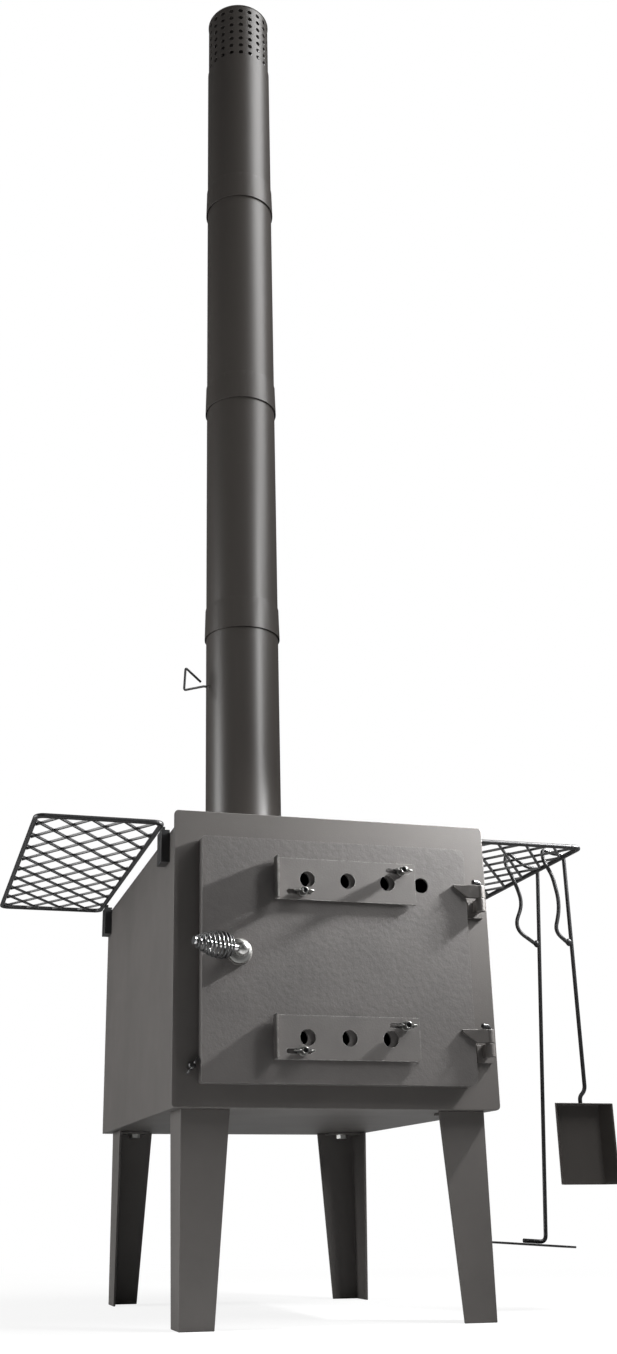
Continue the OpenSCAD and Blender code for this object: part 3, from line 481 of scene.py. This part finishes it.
# %% [markdown]
# ## Bent wire
#
# The rake, the shovel, the damper's handle and the coiled grip are all wire bent cold. A wire is a
# line with a thickness, so a curve is the natural way: its points follow the route, and its bevel
# depth is half the thickness. Each corner of a route is drawn again as a short smooth bend, since
# steel never folds to a point. Curves can't ride on a body, so each is turned into a mesh. Routes
# are in millimetres from the middle of the front plate's foot, as the stove was measured, and
# `from_plate` moves such a place to the frame, whose origin is under the whole outline's middle.

# %% Routes and wires
plate_middle = Vector((17, 244.774, 0))
bend_steps = 8
wire_roundness = 4


def from_plate(x, y, z):
    return (Vector((x, y, z)) - plate_middle) * mm


def bend_corners(route):
    points = [Vector(route[0][:2])]
    for before, corner, after in zip(route, route[1:], route[2:]):
        middle = Vector(corner[:2])
        back = Vector(before[:2]) - middle
        ahead = Vector(after[:2]) - middle
        reach = min(corner[2], back.length / 2, ahead.length / 2)
        for step in range(bend_steps + 1):
            share = step / bend_steps
            pull = back.normalized() * (1 - share) ** 2 + ahead.normalized() * share ** 2
            points.append(middle + pull * reach)
    return points + [Vector(route[-1][:2])]


def draw_wire(name, points, radius):
    curve = bpy.data.curves.new(name, "CURVE")
    curve.dimensions = "3D"
    curve.bevel_depth = radius
    curve.bevel_resolution = wire_roundness
    curve.use_fill_caps = True
    line = curve.splines.new("POLY")
    line.points.add(len(points) - 1)
    for target, place in zip(line.points, points):
        target.co = (*place, 1)
    holder = bpy.data.objects.new(name + "_curve", curve)
    bpy.context.scene.collection.objects.link(holder)
    depsgraph = bpy.context.evaluated_depsgraph_get()
    drawn = bpy.data.meshes.new_from_object(holder.evaluated_get(depsgraph))
    mesh = bmesh.new()
    mesh.from_mesh(drawn)
    bpy.data.objects.remove(holder)
    bpy.data.meshes.remove(drawn)
    return mesh


print("the plate's middle is at", [round(value, 4) for value in from_plate(0, 0, 0)])

# %% [markdown]
# ## Rake and shovel
#
# Both tools are one wire: up from the blade or the pan, over the shelf's outer rail as a hook, and
# back down in a wavy loop for the fingers, whose end is welded to the upright stem. Each place of a
# route is x and z from the rail, and how far its bend may reach. The weld is a small squeezed ball.

# %% Rake and shovel
tool_radius = 2.5 * mm
shelf_rail_x, shelf_rail_z = 344, 545
weld_x = 2.5
weld_size = Vector((4.5, 3.2, 5.0))
weld_sides, weld_rings = 16, 10


def add_weld(mesh, place, size):
    bead = bmesh.ops.create_uvsphere(mesh, u_segments=weld_sides, v_segments=weld_rings, radius=1)
    bmesh.ops.scale(mesh, vec=size, verts=bead["verts"])
    bmesh.ops.translate(mesh, vec=place, verts=bead["verts"])


def hang_tool(node, y, lean, route):
    turn = Matrix.Rotation(math.radians(lean), 3, "Y")
    hook = from_plate(shelf_rail_x, y, shelf_rail_z)
    points = [hook + turn @ Vector((x, 0, z)) * mm for x, z in bend_corners(route)]
    mesh = draw_wire(node, points, tool_radius)
    loop_end = Vector((weld_x, 0, route[-1][1]))
    add_weld(mesh, hook + turn @ loop_end * mm, weld_size * mm)
    return add_piece(node + "_wire", mesh, node)


rake_y, rake_lean = 178, 3.8
rake_route = [
    (-24.2, -469, 0), (5.8, -469, 8), (5.8, 5.8, 5.8), (-10, 5.8, 8), (-38.7, 23.5, 30),
    (-43, 9.8, 30), (-26.7, -19.6, 30), (-17.2, -45.1, 30), (-30.1, -80.4, 30), (0, -98, 0),
]
shovel_y, shovel_lean = 100, 0
shovel_route = [
    (-2, -309, 0), (-2, -301, 8), (5.8, -293, 8), (5.8, 5.8, 5.8), (-10, 5.8, 8),
    (-24.7, 12.1, 30), (-23.9, -4.4, 30), (-13, -22, 30), (-5.2, -61.6, 30),
    (-15.6, -96.8, 30), (0, -110, 0),
]
rake = hang_tool("rake_rod", rake_y, rake_lean, rake_route)
shovel = hang_tool("shovel_rod", shovel_y, shovel_lean, shovel_route)
print("tools:", rake.name, shovel.name)

# %% [markdown]
# ## The damper's handle
#
# The damper in the lowest pipe is turned by a thinner wire, bent to a triangle outside the pipe.
# Its route is given as shares of how far the triangle stands out and rises, so that its size can
# be changed and its shape stays.

# %% Damper handle
damper_radius = 1.8 * mm
damper_y, damper_z = 432, 873
shaft_end_x = -62.3
loop_out, loop_up, loop_bend = 37, 34, 4
loop_shares = [(0, 0), (0.1, 0), (1, -0.35), (0.94, 0.75), (0.24, 0.18)]
damper_turn = Matrix.Rotation(math.radians(12), 3, "Z")
damper_middle = from_plate(0, damper_y, damper_z)
damper_route = [(out * loop_out, up * loop_up, loop_bend) for out, up in loop_shares]
damper_points = [
    damper_middle + damper_turn @ Vector((shaft_end_x - out, 0, up)) * mm
    for out, up in bend_corners(damper_route)
]
damper_mesh = draw_wire("damper_handle", damper_points, damper_radius)
damper_loop = add_piece("damper_handle_wire", damper_mesh, "damper_handle")
print("damper's handle:", damper_loop.name)

# %% [markdown]
# ## The coiled grip
#
# The handle stays cool because its grip is a loose spring that hardly touches the rod. Seen from
# the side it swells like a pear towards the hub, so the radius of the spiral follows a half wave
# that is squeezed towards that end. A formula places its points, since a spiral has too many to
# place by hand.

# %% Spring
latch_x, latch_z = -120, 385
grip_y = -39
grip_lean, grip_rise = math.radians(15), math.radians(4)
grip_turn = Matrix.Rotation(grip_lean, 3, "Z") @ Matrix.Rotation(grip_rise - math.pi / 2, 3, "Y")
grip_middle = from_plate(latch_x, grip_y, latch_z)
coil_turns, coil_length, coil_start = 9, 44, 13
coil_thin, coil_fat = 5.1, 14
coil_radius = 1.3 * mm
swell_squeeze, swell_power = 0.66, 0.8
coil_steps = 28 * coil_turns


def coil_point(share):
    wave = math.sin(math.pi * share ** swell_squeeze) if 0 < share < 1 else 0
    radius = coil_thin + (coil_fat - coil_thin) * wave ** swell_power
    angle = 2 * math.pi * coil_turns * share
    place = (radius * math.cos(angle), radius * math.sin(angle), coil_start + share * coil_length)
    return grip_middle + grip_turn @ Vector(place) * mm


coil_line = [coil_point(step / coil_steps) for step in range(coil_steps + 1)]
spring_mesh = draw_wire("spring", coil_line, coil_radius)
spring = add_piece("spring_coil", spring_mesh, "spring_grip", "spring_steel_and_painted_shade")
print("grip:", spring.name, "with", coil_turns, "turns")

# %% [markdown]
# ## Hub and dish
#
# The grip's rod ends in a rounded hub, and behind it a shallow dish covers the hole in the door.
# Both are turned on a lathe or pressed round, so each is half an outline, a radius and a height at
# every point, spun once around its axis. A quarter turn then points that axis out of the door.

# %% Hub and dish
outward = Matrix.Rotation(math.pi / 2, 3, "X")
spin_steps = 40


def spin_outline(outline, middle, turn, steps=spin_steps):
    mesh = bmesh.new()
    line = [mesh.verts.new((radius * mm, 0, height * mm)) for radius, height in outline]
    edges = [mesh.edges.new(pair) for pair in zip(line, line[1:])]
    bmesh.ops.spin(
        mesh, geom=line + edges, axis=(0, 0, 1), cent=(0, 0, 0), steps=steps,
        angle=2 * math.pi, use_merge=True,
    )
    bmesh.ops.transform(mesh, matrix=Matrix.Translation(middle) @ turn.to_4x4(), verts=mesh.verts)
    return mesh


hub_y, dish_y = -32, -24.3
hub_outline = [
    (0, 0), (6.6, 0), (7.3, 0.4), (7.5, 1.2), (7.5, 8.8), (7.2, 10.2), (6.4, 11.6), (4.9, 13),
    (2.8, 13.8), (0, 14),
]
dish_outline = [
    (5.1, 0), (12.9, 0), (13.4, 0.2), (13.5, 0.6), (13.2, 1.1), (11.8, 1.9), (9.6, 2.6),
    (7.2, 2.95), (5.5, 3), (5.1, 2.8), (5.1, 0),
]
hub_mesh = spin_outline(hub_outline, from_plate(latch_x, hub_y, latch_z), outward)
hub = add_piece("handle_hub_round", hub_mesh, "handle_hub", "zinc")
dish_mesh = spin_outline(dish_outline, from_plate(latch_x, dish_y, latch_z), outward)
# the dish's darkened steel is painted shade
dish = add_piece("latch_dish", dish_mesh, "latch_washer", "steel_darkened_as_shade")
print("round pieces:", hub.name, dish.name)

# %% [markdown]
# ## A wing's ear
#
# A wing nut is pressed or cast: a short thick barrel with two flat ears, rounded at their tips and
# leaning outwards so that a thumb finds them. Each ear is a disc of unit size with a round rim. It
# is squeezed to an oval, stood on its edge, leaned outwards and moved to its side of the barrel.

# %% Ears
ear_sides = 24
rim_round = 0.22
rim_corner = 1
ear_lean = math.radians(24)


def add_ear(mesh, side, turn, middle, reach, ear):
    length, height, thick, start = ear
    disc = bmesh.ops.create_cone(
        mesh, segments=ear_sides, radius1=1, radius2=1, depth=1, cap_ends=True
    )
    mesh.edges.index_update()
    edges = {edge.index: edge for vert in disc["verts"] for edge in vert.link_edges}
    rims = [edge for edge in edges.values() if edge.calc_face_angle(0) > rim_corner]
    bevelled = bmesh.ops.bevel(
        mesh, geom=rims, offset=rim_round, segments=2, profile=0.5, affect="EDGES",
        clamp_overlap=True, material=-1,
    )
    verts = {vert for face in bevelled["faces"] for vert in face.verts}
    verts |= {vert for vert in disc["verts"] if vert.is_valid}
    shape = (
        Matrix.Translation((side * reach, 0, start))
        @ Matrix.Rotation(side * ear_lean, 4, "Y")
        @ Matrix.Rotation(math.pi / 2, 4, "X")
        @ Matrix.Diagonal((length / 2, height / 2, thick, 1))
    )
    place = Matrix.Translation(middle) @ turn.to_4x4()
    verts = list(verts)
    bmesh.ops.transform(mesh, matrix=Matrix.Scale(mm, 4) @ shape, verts=verts)
    bmesh.ops.transform(mesh, matrix=place, verts=verts)


print("an ear's disc has", ear_sides, "sides")

# %% [markdown]
# ## Wing nuts on the vents
#
# Two nuts hold each sliding vent plate, one low at its left and one high at its right. The bolt
# ends a little inside the barrel, so from the front a nut shows a bright ring with a dark middle.
# The barrel is a spun outline with a hole, the ears are added on both sides of it, and the four
# nuts are one piece, as they are one node in the construction model.

# %% Wing nuts
barrel_steps = 28
barrel_outline = [
    (2.6, 0), (4.3, 0), (4.6, 0.4), (4.5, 3), (4.1, 8.6), (3.7, 9.7), (3.3, 10), (2.9, 9.8),
    (2.6, 9), (2.6, 0),
]
nut_reach = 7.4
nut_ear = (9.5, 7.5, 1.8, 5.5)


def add_wing(mesh, middle, outline=barrel_outline, reach=nut_reach, ear=nut_ear, tilt=0):
    barrel = spin_outline(outline, middle, outward, barrel_steps)
    turn = outward @ Matrix.Rotation(math.radians(tilt), 3, "Z")
    for side in (-1, 1):
        add_ear(barrel, side, turn, middle, reach, ear)
    joined = bpy.data.meshes.new("wing")
    barrel.to_mesh(joined)
    barrel.free()
    mesh.from_mesh(joined)
    bpy.data.meshes.remove(joined)


slide_middles = [(1.5, 470.5), (-2, 293.5)]
bolt_left, bolt_right, bolt_rise = -46.5, 73.8, 14.8
nut_seat = -23
nuts = bmesh.new()
for slide_x, slide_z in slide_middles:
    add_wing(nuts, from_plate(slide_x + bolt_left, nut_seat, slide_z - bolt_rise))
    add_wing(nuts, from_plate(slide_x + bolt_right, nut_seat, slide_z + bolt_rise))
# the nuts' darkened steel is painted shade for the shadow they sit in on the door
vent_nuts = add_piece("vent_wing_nuts", nuts, "wing_nuts", "steel_darkened_as_shade")
print("wing nuts:", vent_nuts.name, "on", len(slide_middles), "slides")

# %% [markdown]
# ## The catch screw
#
# A wing screw sits in the front plate, by the lower left corner of the door. It is made as the nuts
# are, with a closed barrel, longer ears, and a turn to the angle at which it was left.

# %% Catch screw
screw_x, screw_z = -169, 263
screw_tilt = 55
screw_reach = 6.6
screw_ear = (10, 7.5, 2, 9)
screw_outline = [(0, 0), (4.0, 0), (4.3, 0.4), (4.0, 8), (3.2, 9.8), (1.5, 10), (0, 10)]
screw = bmesh.new()
screw_middle = from_plate(screw_x, 0, screw_z)
add_wing(screw, screw_middle, screw_outline, screw_reach, screw_ear, screw_tilt)
# the screw's dark steel is painted shade for the shadow it sits in
plate_screw = add_piece("catch_wing_screw", screw, "catch_screw", "spring_steel_and_painted_shade")
print("screw:", plate_screw.name)

# %% [markdown]
# ## The floor
#
# The stove stands on a white studio floor, a plane too wide for its end to be seen. White paint
# under these lamps would throw too much light back up at the dark stove, so the floor that lights
# the stove is a plain grey. What the camera sees is something else, picked by a Light Path node:
# near the legs a glow with a little lit white, which keeps their soft shadows, and further out pure
# white.

# %% Floor
floor_half = 60
floor_grey = (0.62, 0.62, 0.62)
shadow_white = (0.24, 0.24, 0.24, 1)
shadow_glow = 0.83
fade_start, fade_end = 0.55, 1.5
white = (1, 1, 1, 1)


def seen_white(tree):
    lit = add_node(tree, "ShaderNodeBsdfDiffuse", {"Color": shadow_white})
    glow = add_node(tree, "ShaderNodeEmission", {"Color": white, "Strength": shadow_glow})
    near = add_node(tree, "ShaderNodeAddShader", {0: lit.outputs[0], 1: glow.outputs[0]})
    far = add_node(tree, "ShaderNodeEmission", {"Color": white, "Strength": 1.0})
    place = add_node(tree, "ShaderNodeTexCoord").outputs["Object"]
    away = add_node(tree, "ShaderNodeVectorMath", {0: place}, operation="LENGTH").outputs["Value"]
    fade = add_node(
        tree, "ShaderNodeMapRange",
        {"Value": away, "From Min": fade_start, "From Max": fade_end},
        interpolation_type="SMOOTHSTEP",
    )
    mixed = {"Fac": fade.outputs[0], 1: near.outputs[0], 2: far.outputs[0]}
    return add_node(tree, "ShaderNodeMixShader", mixed).outputs[0]


def make_floor():
    mesh = bmesh.new()
    bmesh.ops.create_grid(mesh, x_segments=1, y_segments=1, size=floor_half)
    data = bpy.data.meshes.new("studio_floor")
    mesh.to_mesh(data)
    mesh.free()
    floor = bpy.data.objects.new("studio_floor", data)
    bpy.context.scene.collection.objects.link(floor)
    material, tree, shader = open_material("studio_white", floor_grey)
    shader.inputs["Base Color"].default_value = (*floor_grey, 1)
    shader.inputs["Roughness"].default_value = 1
    shader.inputs["Specular IOR Level"].default_value = 0
    seen = add_node(tree, "ShaderNodeLightPath").outputs["Is Camera Ray"]
    mixed = {"Fac": seen, 1: shader.outputs[0], 2: seen_white(tree)}
    choice = add_node(tree, "ShaderNodeMixShader", mixed)
    tree.links.new(choice.outputs[0], tree.nodes["Material Output"].inputs["Surface"])
    data.materials.append(material)
    return floor


floor = make_floor()
print("floor:", floor.name)

# %% [markdown]
# ## The room
#
# The world stands for the white walls around the stove. The camera sees it as pure white, and it
# lights the stove only faintly, because the lamps do that. A Map Range node sets the two levels,
# and the Light Path node says which one a ray gets.

# %% Room
room_light = 0.07


def light_room():
    world = bpy.data.worlds.new("studio")
    bpy.context.scene.world = world
    world.use_nodes = True
    tree = world.node_tree
    paths = add_node(tree, "ShaderNodeLightPath").outputs
    seen = math_node(tree, "MAXIMUM", paths["Is Camera Ray"], paths["Is Transmission Ray"])
    level = add_node(
        tree, "ShaderNodeMapRange", {"Value": seen, "To Min": room_light, "To Max": 1.0}
    )
    back = tree.nodes["Background"]
    back.inputs["Color"].default_value = white
    tree.links.new(level.outputs[0], back.inputs["Strength"])
    return world


room = light_room()
print("room:", room.name)

# %% [markdown]
# ## The lamps
#
# The key lamp is small and near, to the right and just in front of the door, and throws long
# shadows across the door from everything that stands on it. A tall soft lamp beyond it gives the
# flue its upright highlight, and a low narrow one carries that down to the lowest pipe. A large
# lamp at the left lights the side of the firebox and the flue's left edge, and a weak one by the
# camera lifts the front. Each is a rectangle, placed in metres and aimed at a point of the stove.

# %% Lamps
def add_lamp(name, place, target, size, power, spread=180):
    data = bpy.data.lights.new(name, "AREA")
    data.shape = "RECTANGLE"
    data.size, data.size_y = size
    data.energy = power
    data.spread = math.radians(spread)
    lamp = bpy.data.objects.new(name, data)
    bpy.context.scene.collection.objects.link(lamp)
    lamp.location = place
    lamp.rotation_euler = (Vector(target) - Vector(place)).to_track_quat("-Z", "Y").to_euler()
    return lamp


lamp_settings = {
    "key_lamp": {"place": (0.62, -0.335, 0.82), "target": (-0.077, -0.263, 0.48),
                 "size": (0.05, 0.05), "power": 5.6, "spread": 72},
    "tall_lamp": {"place": (1.3, -0.65, 2.9), "target": (0, 0.19, 1.7),
                  "size": (1.1, 2.0), "power": 50},
    "low_lamp": {"place": (1.01, -1.04, 1.45), "target": (0, 0.19, 0.85),
                 "size": (0.25, 0.9), "power": 17},
    "left_lamp": {"place": (-2.1, 0.35, 0.7), "target": (-0.2, 0.1, 0.6),
                  "size": (0.8, 1.8), "power": 44},
    "front_lamp": {"place": (-1.4, -2.4, 1.6), "target": (0, 0, 0.6),
                   "size": (1.5, 1.5), "power": 1},
}
lamps = [add_lamp(name, **settings) for name, settings in lamp_settings.items()]
print("lamps:", [lamp.name for lamp in lamps])

# %% [markdown]
# ## Colours as they are
#
# Blender can bend the colours of a picture as film does. Here a colour has to come out as it was
# written, so the plain Standard view is set.

# %% View
bpy.context.scene.view_settings.view_transform = "Standard"
print("view:", bpy.context.scene.view_settings.view_transform)
